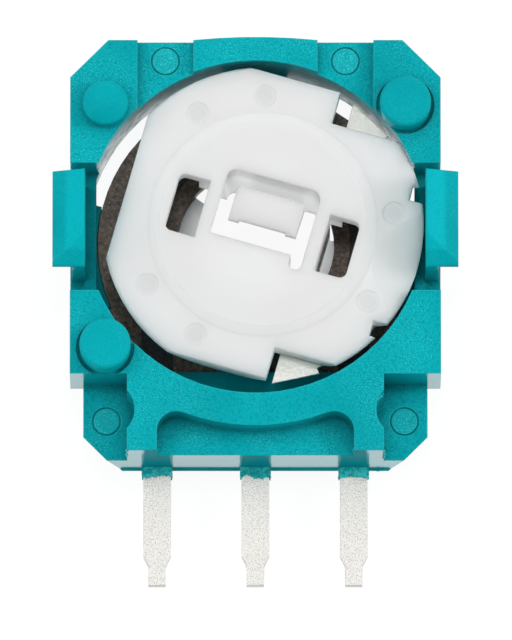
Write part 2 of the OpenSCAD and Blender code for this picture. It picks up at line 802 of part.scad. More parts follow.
module rotor() {
    color("whitesmoke") on_rotor() {
        difference() {
            union() {
                rotor_disc();
                translate([0, 0, face_z - root_depth]) cylinder(h = root_depth - merge, r = root_r);
                translate([0, 0, hub_sink]) cylinder(h = disc_back + merge - hub_sink, r = hub_r);
                snap_tabs();
            }
            both_sides() {
                translate([0, 0, tab_top]) linear_extrude(far) window();
                slot_side_flare();
            }
            linear_extrude(far) drive_slot();
        }
        tongue();
        at_stakes() {
            translate([0, 0, wiper_back - head_t]) cylinder(h = wiper_t + 2 * head_t, r = stake_r);
            translate([0, 0, wiper_back - head_t]) cylinder(h = head_t, r = head_r);
        }
    }
}

// Corner of the plate's outer edge at a radius, counted from one end of the plate to the other.
function plate_corner(i, r) =
    let (angle = acos(wiper_end / wiper_r) * (2 * i / wiper_sides - 1))
    r * [cos(angle), sin(angle)];

// C-shaped plate with straight outer sides, drawn in between the two wider ends and cut off square there.
module wiper_outline() {
    difference() {
        polygon(concat(
            [plate_corner(0, wiper_r), plate_corner(1, wiper_r)],
            [for (i = [1:wiper_sides - 1]) plate_corner(i, waist_r)],
            [plate_corner(wiper_sides - 1, wiper_r), plate_corner(wiper_sides, wiper_r)]
        ));
        circle(wiper_in);
        at_stakes() circle(stake_r + stake_gap);
    }
}

// Pair of fingers on one end of the plate, which slope down to the middle of a track and turn up at
// the toe.
module finger_pair(end, track_r, reach) {
    y = end * sqrt(track_r ^ 2 - reach ^ 2);
    contact_z = track_top + finger_gap;
    slope_x = wiper_end - finger_w;
    toe_x = -reach - toe_len;
    for (side = [-1, 1]) translate([0, y + side * finger_pitch / 2 + finger_w / 2, 0]) rotate([90, 0, 0])
        linear_extrude(finger_w) polygon([
            [wiper_end + finger_w, wiper_back], [slope_x, wiper_back],
            [-reach, contact_z], [toe_x, contact_z + toe_rise],
            [toe_x, contact_z + toe_rise + wiper_t], [-reach, contact_z + wiper_t],
            [slope_x, disc_back], [wiper_end + finger_w, disc_back]
        ]);
}

module wiper() {
    color("lightgray") on_rotor() {
        translate([0, 0, wiper_back]) linear_extrude(wiper_t) wiper_outline();
        finger_pair(1, ring_r((resistive_from + resistive_to) / 2), resistive_finger_x);
        finger_pair(-1, ring_r((collector_from + collector_to) / 2), collector_finger_x);
    }
}

housing();
resistor_wafer();
resistive_track();
collector_track();
left_terminal();
centre_terminal();
right_terminal();
rotor();
wiper();
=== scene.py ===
# %% [markdown]
# A joystick potentiometer, as small as a fingernail: a teal moulding that snaps onto a thumb joystick,
# a loose white rotor, three tinned pins. The solids come in as a fixed frame, at their real size and in
# metres, and this lesson gives them their surfaces. Nothing in the frame is moved.

# %% Load the frame
import json
import math
import random

import bmesh
import bpy
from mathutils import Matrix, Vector, noise


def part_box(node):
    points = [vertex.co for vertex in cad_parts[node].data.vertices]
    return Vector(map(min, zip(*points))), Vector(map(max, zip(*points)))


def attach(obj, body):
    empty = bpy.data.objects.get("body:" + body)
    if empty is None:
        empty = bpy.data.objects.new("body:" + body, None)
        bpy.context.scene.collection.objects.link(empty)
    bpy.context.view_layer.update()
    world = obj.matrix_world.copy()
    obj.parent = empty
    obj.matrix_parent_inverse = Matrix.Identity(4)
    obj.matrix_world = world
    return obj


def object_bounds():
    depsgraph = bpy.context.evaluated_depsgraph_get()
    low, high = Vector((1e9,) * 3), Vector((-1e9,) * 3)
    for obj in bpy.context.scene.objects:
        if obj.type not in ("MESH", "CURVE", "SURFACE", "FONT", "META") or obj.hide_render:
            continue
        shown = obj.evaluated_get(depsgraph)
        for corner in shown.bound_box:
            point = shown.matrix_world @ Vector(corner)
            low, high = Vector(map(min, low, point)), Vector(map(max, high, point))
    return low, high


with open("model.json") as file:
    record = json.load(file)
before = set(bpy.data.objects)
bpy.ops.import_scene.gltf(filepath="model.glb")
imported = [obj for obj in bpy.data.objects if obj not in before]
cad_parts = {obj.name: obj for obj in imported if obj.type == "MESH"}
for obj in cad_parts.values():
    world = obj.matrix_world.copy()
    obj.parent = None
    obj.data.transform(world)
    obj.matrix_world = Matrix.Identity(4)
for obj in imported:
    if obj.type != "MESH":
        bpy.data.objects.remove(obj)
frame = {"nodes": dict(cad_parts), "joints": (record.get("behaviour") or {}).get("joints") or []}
cad_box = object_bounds()
MM = 0.001
print("frame:", sorted(frame["nodes"]), "size in mm:", [round(x / MM, 2) for x in cad_box[1] - cad_box[0]])

# %% [markdown]
# A material is a small graph of nodes. Wiring each one by hand takes many lines, so short helpers place a
# node and fill its sockets, with a constant or with a link from another node. A constant is put on the
# socket itself, because a viewer elsewhere then reads it as it is. A mask is a number from nothing to one
# that says where something holds, and the product of two masks says where both do.

# %% Helpers for node graphs
# A Mix node has sockets for every kind of data; these are for the mask, the two colours and the result
MIX_INPUTS = (0, 6, 7)
MIX_RESULT = 2


def fill(tree, socket, value):
    """Puts a constant on a socket, or links another node's output to it."""
    if isinstance(value, bpy.types.NodeSocket):
        tree.links.new(value, socket)
    else:
        socket.default_value = value


def feed(tree, node, **sockets):
    """Fills the sockets of a node by name."""
    for name, value in sockets.items():
        fill(tree, node.inputs[name.replace("_", " ")], value)


def place(tree, kind, settings=None, **sockets):
    """Adds a shader node with its settings and sockets."""
    node = tree.nodes.new("ShaderNode" + kind)
    for name, value in (settings or {}).items():
        setattr(node, name, value)
    feed(tree, node, **sockets)
    return node


def reckon(tree, operation, *values):
    """The answer to a sum on one or two numbers."""
    node = place(tree, "Math", {"operation": operation})
    for socket, value in zip(node.inputs, values):
        fill(tree, socket, value)
    return node.outputs[0]


def times(tree, first, second):
    """The product of two numbers or masks."""
    return reckon(tree, "MULTIPLY", first, second)


def measure(tree, operation, *points):
    """The distance between two points, or the length of one."""
    node = place(tree, "VectorMath", {"operation": operation})
    for socket, point in zip(node.inputs, points):
        fill(tree, socket, point)
    return node.outputs["Value"]


def spread(tree, value, low, high, start=0.0, end=1.0):
    """Stretches a value from the range start to end onto the range low to high."""
    node = place(
        tree, "MapRange", Value=value, From_Min=start, From_Max=end, To_Min=low, To_Max=high
    )
    return node.outputs["Result"]


def speckle(tree, where, cells, detail, **more):
    """Noise with so many cells a metre."""
    return place(tree, "TexNoise", Vector=where, Scale=cells, Detail=detail, **more).outputs["Fac"]


def blend_colours(tree, mask, first, second):
    """Mixes two colours by a mask."""
    node = place(tree, "Mix", {"data_type": "RGBA"})
    for index, value in zip(MIX_INPUTS, (mask, first, second)):
        fill(tree, node.inputs[index], value)
    return node.outputs[MIX_RESULT]


def blend_shaders(tree, mask, first, second):
    """Mixes two shader nodes by a mask."""
    node = place(tree, "MixShader", Fac=mask)
    tree.links.new(first.outputs[0], node.inputs[1])
    tree.links.new(second.outputs[0], node.inputs[2])
    return node.outputs[0]


def hollow_mask(tree, reach, strongest, start, end):
    """Strongest in hollows and nothing in the open, by how much sky a point sees within that reach."""
    sky = place(tree, "AmbientOcclusion", {"samples": 8, "only_local": True}, Distance=reach)
    return spread(tree, sky.outputs["AO"], strongest, 0, start, end)


print("node helpers: fill, feed, place, reckon, times, measure, spread, speckle, blends, hollow_mask")

# %% [markdown]
# The same few steps start every material, every node group and every piece that is added to the frame.

# %% Helpers for materials and pieces


def empty_tree(owner):
    """The node tree of a material or a world, with nothing in it."""
    owner.use_nodes = True
    owner.node_tree.nodes.clear()
    return owner.node_tree


def start_material(name, **constants):
    """An empty material with a Principled shader whose constants are set on its own sockets."""
    material = bpy.data.materials.new(name)
    tree = empty_tree(material)
    shader = place(tree, "BsdfPrincipled", **constants)
    place(tree, "OutputMaterial", Surface=shader.outputs["BSDF"])
    return material, tree, shader


def start_group(name, inputs, outputs):
    """A shader node group with sockets for numbers, or vectors if so named, and its two end nodes."""
    group = bpy.data.node_groups.new(name, "ShaderNodeTree")
    for direction, sockets in (("INPUT", inputs), ("OUTPUT", outputs)):
        for socket in sockets:
            kind = "Vector" if socket == "Normal" else "Float"
            group.interface.new_socket(socket, in_out=direction, socket_type="NodeSocket" + kind)
    return group, group.nodes.new("NodeGroupInput"), group.nodes.new("NodeGroupOutput")


def use_group(tree, group, **sockets):
    """Places a node group in a material, with its own values."""
    return place(tree, "Group", {"node_tree": group}, **sockets)


def dress(node, finish):
    """Gives a solid of the frame its material."""
    materials = frame["nodes"][node].data.materials
    materials.clear()
    materials.append(finish)
    print(node, "is", finish.name)


def make_piece(name, bm, finish):
    """Turns a bmesh into a piece with one material, at the origin."""
    mesh = bpy.data.meshes.new(name)
    bm.to_mesh(mesh)
    bm.free()
    mesh.materials.append(finish)
    piece = bpy.data.objects.new(name, mesh)
    bpy.context.scene.collection.objects.link(piece)
    print(name, "has", len(mesh.polygons), "faces")
    return piece


print("helpers: empty_tree, start_material, start_group, use_group, dress, make_piece")

# %% [markdown]
# Every piece here is moulded, stamped or printed, so none has a knife-sharp edge. The solids do, which
# is right for measuring them. A Bevel node rounds the shading over an edge without touching the mesh, and
# where its normal leaves the flat one there is an edge, which gives a mask for a painted highlight along it.
# One group does both, for the mouldings and the metal strip.

# %% Group for soft edges
EDGE_TURN = (0.05, 0.6)
soft_edge, edge_in, edge_out = start_group("soft_edge", ["Radius"], ["Normal", "Edge"])
rounding = place(soft_edge, "Bevel", {"samples": 6}, Radius=edge_in.outputs["Radius"])
flat_normal = place(soft_edge, "NewGeometry").outputs["True Normal"]
turn = measure(soft_edge, "DISTANCE", rounding.outputs["Normal"], flat_normal)
feed(
    soft_edge, edge_out, Normal=rounding.outputs["Normal"],
    Edge=spread(soft_edge, turn, 0, 1, *EDGE_TURN)
)
print("group:", soft_edge.name)

# %% [markdown]
# The mould was cut by sparks, which leaves a fine grain on the faces that the mould opened along and none
# on the walls that slid past it. The grain is two sizes of noise on the piece's own coordinates, and a third,
# slower one makes it strong in some patches and worn in others. The piece's own normal tells a face from
# a wall. Slow clouds stand for the uneven flow of the plastic.

# %% Group for mould grain
COARSE_SHARE = 0.45
CLOUD_CELLS = 420.0
PATCH_CELLS = 900.0
FLECK_RANGE = (0.53, 0.7)
PATCH_RANGE = (0.38, 0.62)
WORN_LEAST = 0.25
MOTTLE_RANGE = (0.34, 0.52)
CLOUD_RANGE = (0.3, 0.7)
FACE_RANGE = (0.4, 0.9)
mould_grain, grain_in, grain_out = start_group(
    "mould_grain", ["Grain"], ["Height", "Fleck", "Mottle", "Cloud", "Face"]
)
own = place(mould_grain, "TexCoord")
own_spot = own.outputs["Object"]
cells = grain_in.outputs["Grain"]
fine = speckle(mould_grain, own_spot, cells, 3.0)
coarse = speckle(mould_grain, own_spot, times(mould_grain, cells, COARSE_SHARE), 2.0)
clouds = speckle(mould_grain, own_spot, CLOUD_CELLS, 3.0)
patches = speckle(mould_grain, own_spot, PATCH_CELLS, 2.0)
worn_off = spread(mould_grain, patches, WORN_LEAST, 1, *PATCH_RANGE)
way = place(mould_grain, "SeparateXYZ", Vector=own.outputs["Normal"])
upright = reckon(mould_grain, "ABSOLUTE", way.outputs["Z"])
feed(
    mould_grain, grain_out,
    Height=reckon(mould_grain, "ADD", fine, coarse),
    Fleck=times(mould_grain, spread(mould_grain, fine, 0, 1, *FLECK_RANGE), worn_off),
    Mottle=spread(mould_grain, coarse, 1, 0, *MOTTLE_RANGE),
    Cloud=spread(mould_grain, clouds, 0, 1, *CLOUD_RANGE),
    Face=spread(mould_grain, upright, 0, 1, *FACE_RANGE)
)
print("group:", mould_grain.name)

# %% [markdown]
# Some places on the housing look different from the rest: the four round marks of the mould, in pairs left
# and right, the ramps that run down the bottom face to the pins, and the wall of the round opening. Painted
# maps could hold them, but a few measures on the piece's own coordinates are shorter and sharp at any size.

# %% Masks on the housing
MARKS = ((3.785 * MM, -4.79 * MM), (2.29 * MM, 4.35 * MM))
MARK_R = 0.33 * MM
MARK_SOFT = 0.94
LIP_REACH = 0.05 * MM
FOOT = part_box("housing")[0].y + LIP_REACH
FOOT_Y = (FOOT + 0.004 * MM, FOOT + 0.012 * MM)
PITCH = 2.5 * MM
RAMP_REACH = 0.042 * MM
RAMP_Y = (FOOT - 1.1 * RAMP_REACH, FOOT - RAMP_REACH)
RAMP_HALF = (0.41 * MM, 0.3 * MM)
RAMP_Z = (1.0 * MM, 3.0 * MM)
BORE_REACH = 4.4 * MM


def near_marks(tree, at, reach):
    """One within that reach of a round mark's middle."""
    aside = reckon(tree, "ABSOLUTE", at.outputs["X"])
    spot = place(tree, "CombineXYZ", X=aside, Y=at.outputs["Y"]).outputs["Vector"]
    near = [
        spread(tree, measure(tree, "DISTANCE", spot, (x, y, 0)), 1, 0, MARK_SOFT * reach, reach)
        for x, y in MARKS
    ]
    return reckon(tree, "MAXIMUM", *near)


def on_ramps(tree, at):
    """One on the ramps down the bottom face, which grow narrower towards the front."""
    beside = reckon(tree, "PINGPONG", at.outputs["X"], PITCH / 2)
    half = spread(tree, at.outputs["Z"], *RAMP_HALF, *RAMP_Z)
    below = spread(tree, at.outputs["Y"], 1, 0, *FOOT_Y)
    above = spread(tree, at.outputs["Y"], 0, 1, *RAMP_Y)
    return times(tree, reckon(tree, "LESS_THAN", beside, half), times(tree, below, above))


def in_opening(tree, at):
    """One inside a circle that takes in the opening's wall."""
    flat = place(tree, "CombineXYZ", X=at.outputs["X"], Y=at.outputs["Y"]).outputs["Vector"]
    return reckon(tree, "LESS_THAN", measure(tree, "LENGTH", flat), BORE_REACH)


print("masks: near_marks, on_ramps, in_opening")

# %% [markdown]
# The housing is filled polyester in a strong teal. Its walls slid past polished steel and mirror whatever is
# pale: the bottom face looks almost white, and the opening's wall grey with dull smears. A clear coat does
# that, on the walls under the front plane. The ramps over the pins are rough and have none. The flecks on the
# grained faces catch light and are paler, most of all on the round mould marks. Hooks and pegs stand over the
# front plane and were polished in the mould, so the grain fades above that plane and the edges are rounder.
# The hooks' tips get a painted highlight, a brighter teal, and so do the edges. The grain fades again deep in
# the opening. Hollows are painted a deeper teal, a painted shade. Torn plastic has no skin, and its grit is
# pale.

# %% Teal plastic
TEAL_DEEP = (0.0, 0.36, 0.41, 1)
TEAL = (0.0, 0.45, 0.505, 1)
TEAL_FLECK = (0.06, 0.74, 0.74, 1)
TEAL_MOTTLE = (0.0, 0.24, 0.28, 1)
TEAL_HOLLOW_SHADE = (0.0, 0.1, 0.12, 1)
TEAL_TIP_HIGHLIGHT = (0.0, 0.49, 0.56, 1)
TIP_Z = (3.68 * MM, 3.74 * MM)
SMOOTH_Z = (3.02 * MM, 3.1 * MM)
SMOOTH_GRAIN = 0.3
DEEP_Z = (1.2 * MM, 1.5 * MM)
EDGE_R = (0.05 * MM, 0.13 * MM)
GRIT_RANGE = (0.9, 1.12)
HOLLOW_SHADE_REACH = 0.9 * MM
HOLLOW_SHADE_RANGE = (0.3, 0.8)
HOLLOW_SHADE_MOST = 0.75
LESS_SHADE_R = 1.25 * MARK_R
SMEAR_CELLS = 3200.0
SMEAR_RANGE = (0.4, 0.6)
TEAL_GRAIN = 29000.0
TEAL_BUMP = 0.007 * MM


def teal_colour(tree, at, mould, grained, painted_edge_highlight, ramps, raw):
    """The skin with painted highlights on its tips, grit, mottle, flecks, marks, ramps and painted highlights
    on its edges, in that order.
    """
    # painted highlight: the hooks' tips are lighter where the lamps fall on them
    tip_highlight = spread(tree, at.outputs["Z"], 0, 1, *TIP_Z)
    grit = spread(tree, mould.outputs["Height"], 0, raw, *GRIT_RANGE)
    mottle = spread(tree, times(tree, mould.outputs["Mottle"], grained), 0, 0.5)
    fleck = spread(tree, times(tree, mould.outputs["Fleck"], grained), 0, 0.8)
    pale = times(tree, near_marks(tree, at, MARK_R), spread(tree, mould.outputs["Fleck"], 0.1, 0.6))
    body = blend_colours(tree, mould.outputs["Cloud"], TEAL_DEEP, TEAL)
    for mask, colour in (
        (tip_highlight, TEAL_TIP_HIGHLIGHT),
        (grit, TEAL_FLECK),
        (mottle, TEAL_MOTTLE),
        (fleck, TEAL_FLECK),
        (times(tree, pale, grained), TEAL_FLECK),
        (spread(tree, ramps, 0, 0.7), TEAL_MOTTLE),
        (painted_edge_highlight, TEAL_FLECK),
    ):
        body = blend_colours(tree, mask, body, colour)
    return body


def painted_hollow_shade(tree, at, face):
    """Painted shade, strong in hollows, but not on the ramps, less round the marks and less on walls."""
    inside = spread(tree, at.outputs["Y"], 0, 1, *FOOT_Y)
    shaded_inside = times(tree, inside, spread(tree, near_marks(tree, at, LESS_SHADE_R), 1, 0.3))
    shaded_faces = times(tree, shaded_inside, spread(tree, face, 0.4, 1))
    return times(tree, hollow_mask(tree, HOLLOW_SHADE_REACH, HOLLOW_SHADE_MOST, *HOLLOW_SHADE_RANGE), shaded_faces)


def wall_mirror(tree, at, own_place, face, low, ramps):
    """How strongly a wall mirrors: fully under the front plane, less at the opening's smears."""
    wall = times(tree, spread(tree, face, 1, 0), spread(tree, low, 0, 1, 0.9, 1.0))
    smears = speckle(tree, own_place, SMEAR_CELLS, 3.0)
    dull = times(tree, in_opening(tree, at), spread(tree, smears, 0.6, 0, *SMEAR_RANGE))
    return times(tree, times(tree, wall, spread(tree, dull, 1, 0)), spread(tree, ramps, 1, 0))


def teal_plastic(name, grain, bump, deep_z, raw):
    """Teal moulding with a grain of so many cells a metre and a bump of that height, which fades at that
    depth. Raw is how strongly its grit shows."""
    material, tree, shader = start_material(
        name, IOR=1.5, Specular_IOR_Level=0.03, Coat_IOR=1.5, Coat_Roughness=0.12
    )
    own_place = place(tree, "TexCoord").outputs["Object"]
    at = place(tree, "SeparateXYZ", Vector=own_place)
    edge = use_group(tree, soft_edge, Radius=spread(tree, at.outputs["Z"], *EDGE_R, *SMOOTH_Z))
    mould = use_group(tree, mould_grain, Grain=grain)
    face = mould.outputs["Face"]
    low = spread(tree, at.outputs["Z"], 1, SMOOTH_GRAIN, *SMOOTH_Z)
    grained = times(tree, face, times(tree, low, spread(tree, at.outputs["Z"], 0, 1, *deep_z)))
    ramps = on_ramps(tree, at)
    # painted highlight along the edges, weaker above the front plane
    painted_edge_highlight = times(tree, spread(tree, edge.outputs["Edge"], 0, 0.35), low)
    body = teal_colour(tree, at, mould, grained, painted_edge_highlight, ramps, raw)
    dent = place(
        tree, "Bump", Strength=1.0, Distance=bump, Height=times(tree, mould.outputs["Height"], grained),
        Normal=edge.outputs["Normal"]
    )
    # the base colour takes the painted shade in the hollows
    feed(
        tree, shader,
        Base_Color=blend_colours(tree, painted_hollow_shade(tree, at, face), body, TEAL_HOLLOW_SHADE),
        Roughness=spread(tree, face, 0.3, 0.5),
        Coat_Weight=wall_mirror(tree, at, own_place, face, low, ramps),
        Normal=dent.outputs["Normal"]
    )
    return material


dress("housing", teal_plastic("teal_moulding", TEAL_GRAIN, TEAL_BUMP, DEEP_Z, raw=0.0))

# %% [markdown]
# The rotor is natural acetal, a white and slightly waxy plastic. Light goes a good way into it, which keeps
# its deep slots pale. Subsurface scattering gives that near the face. Further down, where it fades, a faint
# glow in the hollows stands for the light that the walls carry. Only the camera sees it, so it lights nothing
# else. On the side between the small nicks the disc is painted a bluish grey, a painted shadow of the hook
# there. The slope round the raised middle is painted a lighter white, painted light that cancels its shading,
# so it hardly shows. Soft rings from the mould lie round the axis, and the ejector pins left six dull spots.
# All of it is measured from the axis that the disc turns on, with the disc turned level.

# %% White plastic
WHITE = (0.865, 0.847, 0.838, 1)
WHITE_COOL = (0.83, 0.83, 0.828, 1)
WHITE_HOOK_SHADE = (0.84, 0.87, 0.855, 1)
WHITE_SLOPE_LIGHT = (0.95, 0.94, 0.93, 1)
WHITE_SPOT = (0.7, 0.71, 0.715, 1)
BLACK = (0, 0, 0, 1)
CARRIED = (0.48, 0.5, 0.495, 1)
CARRIED_Z = (2.96 * MM, 1.9 * MM)
CARRIED_REACH = 1.2 * MM
CARRIED_RANGE = (0.45, 0.85)
SPOT_R = 0.28 * MM
SPOT_SOFT = 0.6
SPOT_DULL = 0.5
SPOT_AT = 3.33 * MM
SPOT_ANGLES = (21, 105, 136)
HOOK_SHADE_X = (2.5 * MM, 3.3 * MM)
HOOK_SHADE_ASIDE = (1.2 * MM, 2.3 * MM)
SLOPE_IN = (2.6 * MM, 2.69 * MM)
SLOPE_OUT = (2.85 * MM, 2.94 * MM)
RING_CELLS = 620.0
RING_BUMP = 0.02 * MM
WHITE_EDGE_R = 0.05 * MM
WHITE_GRAIN = 9000.0
WHITE_BUMP = 0.003 * MM
REST_TURN = math.radians(-16)
axis_x, axis_y, _ = frame["joints"][0]["pos_m"]


def white_colour(tree, on_disc, mould):
    """The white with painted light on its slope, a painted shadow of the hook on one side and its dull spots,
    which lie alike above and below.
    """
    x, y = on_disc.outputs["X"], on_disc.outputs["Y"]
    aside = reckon(tree, "ABSOLUTE", y)
    spot = place(tree, "CombineXYZ", X=x, Y=aside).outputs["Vector"]
    radius = measure(tree, "LENGTH", place(tree, "CombineXYZ", X=x, Y=y).outputs["Vector"])
    # painted light: the slope round the raised middle is lighter, against its shading
    slope_light = times(
        tree, spread(tree, radius, 0, 1, *SLOPE_IN), spread(tree, radius, 1, 0, *SLOPE_OUT)
    )
    # painted shade: the hook's shadow on the rim, a bluish grey
    hook_shade = times(tree, spread(tree, x, 0, 1, *HOOK_SHADE_X), spread(tree, aside, 1, 0.2, *HOOK_SHADE_ASIDE))
    body = blend_colours(tree, mould.outputs["Cloud"], WHITE_COOL, WHITE)
    body = blend_colours(tree, slope_light, body, WHITE_SLOPE_LIGHT)
    body = blend_colours(tree, hook_shade, body, WHITE_HOOK_SHADE)
    for angle in SPOT_ANGLES:
        turned = math.radians(angle)
        middle = (SPOT_AT * math.cos(turned), SPOT_AT * math.sin(turned), 0)
        away = measure(tree, "DISTANCE", spot, middle)
        dull = spread(tree, away, SPOT_DULL, 0, SPOT_SOFT * SPOT_R, SPOT_R)
        body = blend_colours(tree, times(tree, dull, mould.outputs["Face"]), body, WHITE_SPOT)
    return body


def carried_light(tree, depth):
    """The colour of the glow in the hollows, for the camera alone."""
    hollow = hollow_mask(tree, CARRIED_REACH, 1, *CARRIED_RANGE)
    looked_at = place(tree, "LightPath").outputs["Is Camera Ray"]
    glow = times(tree, looked_at, times(tree, hollow, spread(tree, depth, 0, 1, *CARRIED_Z)))
    return blend_colours(tree, glow, BLACK, CARRIED)


def white_plastic(name):
    """White moulding, with everything measured from the rotor's axis."""
    material, tree, shader = start_material(
        name, IOR=1.48, Subsurface_Weight=1.0, Subsurface_Scale=1.0 * MM, Subsurface_Radius=(1, 1, 1),
        Emission_Strength=1.0
    )
    edge = use_group(tree, soft_edge, Radius=WHITE_EDGE_R)
    mould = use_group(tree, mould_grain, Grain=WHITE_GRAIN)
    own_place = place(tree, "TexCoord").outputs["Object"]
    centred = place(tree, "Mapping", Vector=own_place, Location=(-axis_x, -axis_y, 0)).outputs["Vector"]
    level = place(tree, "Mapping", Vector=centred, Rotation=(0, 0, -REST_TURN)).outputs["Vector"]
    on_disc = place(tree, "SeparateXYZ", Vector=level)
    rings = place(
        tree, "TexWave", {"wave_type": "RINGS", "rings_direction": "Z"},
        Vector=centred, Scale=RING_CELLS, Distortion=0.6, Detail=1.0, Detail_Scale=0.8
    )
    soft = place(
        tree, "Bump", Strength=0.12, Distance=RING_BUMP, Height=rings.outputs["Fac"],
        Normal=edge.outputs["Normal"]
    )
    dent = place(
        tree, "Bump", Strength=0.3, Distance=WHITE_BUMP, Height=mould.outputs["Height"],
        Normal=soft.outputs["Normal"]
    )
    feed(
        tree, shader,
        Base_Color=white_colour(tree, on_disc, mould),
        Roughness=spread(tree, mould.outputs["Cloud"], 0.36, 0.48),
        Emission_Color=carried_light(tree, on_disc.outputs["Z"]),
        Normal=dent.outputs["Normal"]
    )
    return material


dress("rotor", white_plastic("white_acetal"))

# %% [markdown]
# The pins and the wiper are thin stamped strip. Hot tin leaves the pins matt and crystalline, with small
# bright and dark grains, and the wiper is smoother and warmer. One function makes both, from grain size,
# colours and how rough they are.

# %% Metals
TIN_LIGHT = (0.84, 0.815, 0.775, 1)
TIN_DARK = (0.3, 0.26, 0.22, 1)
SPRING_LIGHT = (0.86, 0.835, 0.77, 1)
SPRING_DARK = (0.8, 0.75, 0.66, 1)
STRIP_EDGE_R = 0.03 * MM
PITS_TO_GRAIN = 1.6
PIT_RANGE = (0.53, 0.68)
SHINE_RANGE = (0.3, 0.7)


def strip_metal(name, light, dark, grain, pitted, bump, rough):
    """Stamped strip with a grain of so many crystals a metre and finer dark pits."""
    material, tree, shader = start_material(name, Metallic=0.2, IOR=1.6)
    edge = use_group(tree, soft_edge, Radius=STRIP_EDGE_R)
    own_place = place(tree, "TexCoord").outputs["Object"]
    crystals = place(tree, "TexVoronoi", Vector=own_place, Scale=grain)
    specks = speckle(tree, own_place, grain * PITS_TO_GRAIN, 2.0)
    dent = place(
        tree, "Bump", Strength=0.5, Distance=bump, Height=crystals.outputs["Distance"],
        Normal=edge.outputs["Normal"]
    )
    feed(
        tree, shader,
        Base_Color=blend_colours(tree, spread(tree, specks, 0, pitted, *PIT_RANGE), light, dark),
        Roughness=spread(tree, specks, rough - 0.1, rough + 0.1, *SHINE_RANGE),
        Normal=dent.outputs["Normal"]
    )
    return material


tin = strip_metal(
    "tinned_pin", TIN_LIGHT, TIN_DARK, grain=22000.0, pitted=0.8, bump=0.006 * MM, rough=0.45
)
spring = strip_metal(
    "spring_strip", SPRING_LIGHT, SPRING_DARK, grain=9000.0, pitted=0.3, bump=0.0004 * MM, rough=0.42
)
for node in ("left_terminal", "centre_terminal", "right_terminal"):
    dress(node, tin)
dress("wiper", spring)

# %% [markdown]
# Deep in the opening lies the wafer, brown laminate with black carbon printed on it. Only slivers show,
# in shade, so the two finishes are a mottled brown with pale specks and a matt black with a trace of the
# screen's grain.

# %% Laminate and printed tracks
BROWN_LIGHT = (0.27, 0.175, 0.128, 1)
BROWN_DARK = (0.085, 0.055, 0.041, 1)
BROWN_SPECK = (0.85, 0.7, 0.52, 1)
CARBON_LIGHT = (0.05, 0.046, 0.043, 1)
CARBON_DARK = (0.012, 0.011, 0.011, 1)
CARBON_SPECK = (0.07, 0.065, 0.06, 1)
SPECKS_TO_GRAIN = 2.6
SPECK_RANGE = (0.62, 0.74)
SPECK_MOST = 0.4
FIBRE_RANGE = (0.35, 0.68)
FIBRE_BUMP = 0.004 * MM


def printed(name, light, dark, speck, grain, rough):
    """A mottled, specked finish with a grain of so many cells a metre."""
    material, tree, shader = start_material(name, IOR=1.5)
    own_place = place(tree, "TexCoord").outputs["Object"]
    fibres = speckle(tree, own_place, grain, 4.0, Roughness=0.65)
    specks = speckle(tree, own_place, grain * SPECKS_TO_GRAIN, 1.0)
    body = blend_colours(tree, spread(tree, fibres, 0, 1, *FIBRE_RANGE), dark, light)
    dent = place(tree, "Bump", Strength=0.5, Distance=FIBRE_BUMP, Height=fibres)
    feed(
        tree, shader,
        Base_Color=blend_colours(tree, spread(tree, specks, 0, SPECK_MOST, *SPECK_RANGE), body, speck),
        Roughness=spread(tree, fibres, rough + 0.1, rough - 0.1),
        Normal=dent.outputs["Normal"]
    )
    return material


carbon = printed("printed_carbon", CARBON_LIGHT, CARBON_DARK, CARBON_SPECK, grain=14000.0, rough=0.55)
dress("resistor_wafer", printed(
    "brown_laminate", BROWN_LIGHT, BROWN_DARK, BROWN_SPECK, grain=9000.0, rough=0.5
))
dress("resistive_track", carbon)
dress("collector_track", carbon)

# %% [markdown]
# Where each pin leaves the housing, a little teal has crept along it when it was moulded: a rough sleeve
# a quarter of a millimetre long with a torn end. It starts as a flat ring round the pin, made by bridging
# two rectangles, and is drawn out along the pin in short steps. Noise then makes the end wavy and torn, more
# so the further out, and roughens the outside.

# %% Flash round the pin roots
FLASH_LENGTH = 0.29 * MM
FLASH_WALL = 0.035 * MM
FLASH_STEPS = 10
FLASH_CUTS = 19
FLASH_ROOT = 0.02 * MM
FLASH_GRAIN = 15000.0
FLASH_BUMP = 0.03 * MM
FLASH_DEEP_Z = (0.1 * MM, 0.2 * MM)
PIN_HALF = 0.35 * MM
WAVE_CELL, WAVE_REACH = 0.16 * MM, 0.09 * MM
TEAR_CELL, TEAR_REACH = 0.05 * MM, 0.06 * MM
CRUST_CELL, CRUST_REACH = 0.05 * MM, 0.02 * MM
WELD = 1e-8
flash_teal = teal_plastic("teal_flash", FLASH_GRAIN, FLASH_BUMP, FLASH_DEEP_Z, raw=0.9)


def rectangle(bm, x_half, z_low, z_high, x, y, cuts):
    """A closed loop of edges in the plane across a pin."""
    corners = [
        bm.verts.new((x + side * x_half, y, z))
        for side, z in ((-1, z_low), (1, z_low), (1, z_high), (-1, z_high))
    ]
    edges = [bm.edges.new((corners[i], corners[(i + 1) % 4])) for i in range(4)]
    made = bmesh.ops.subdivide_edges(bm, edges=edges, cuts=cuts, use_grid_fill=False)
    return [item for item in made["geom"] if isinstance(item, bmesh.types.BMEdge)]


